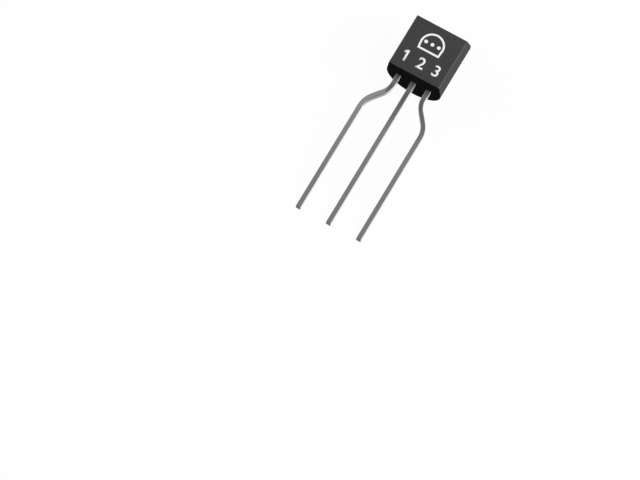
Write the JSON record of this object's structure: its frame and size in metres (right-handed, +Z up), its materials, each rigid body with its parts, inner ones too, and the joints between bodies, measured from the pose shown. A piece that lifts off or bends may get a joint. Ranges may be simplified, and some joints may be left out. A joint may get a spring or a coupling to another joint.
{
  "type": "to-92 transistor",
  "caption": "Moulded small-signal transistor with a flat face and a round back, its outer leads formed to a wider pitch, lying flat face up.",
  "frame": {"origin": "on the surface it lies on, below the middle of its box", "axes": "+X across the flat face, from the emitter's side to the collector's; +Y from the leads' tips towards the body's top; +Z up, out of the flat face but for the tilt of 8.3 degrees that it lies at"},
  "size_m": [0.0054, 0.0174, 0.0044],
  "materials": {
    "epoxy": "satin",
    "tinned_lead": "brushed",
    "silicon": "polished",
    "solder": "satin",
    "gold_wire": "polished",
    "white_ink": "matte"
  },
  "bodies": {
    "root": {"body": "epoxy", "collector_lead": "tinned_lead", "base_lead": "tinned_lead", "emitter_lead": "tinned_lead", "transistor_chip": "silicon", "chip_solder": "solder", "base_wire": "gold_wire", "emitter_wire": "gold_wire"}
  },
  "joints": []
}
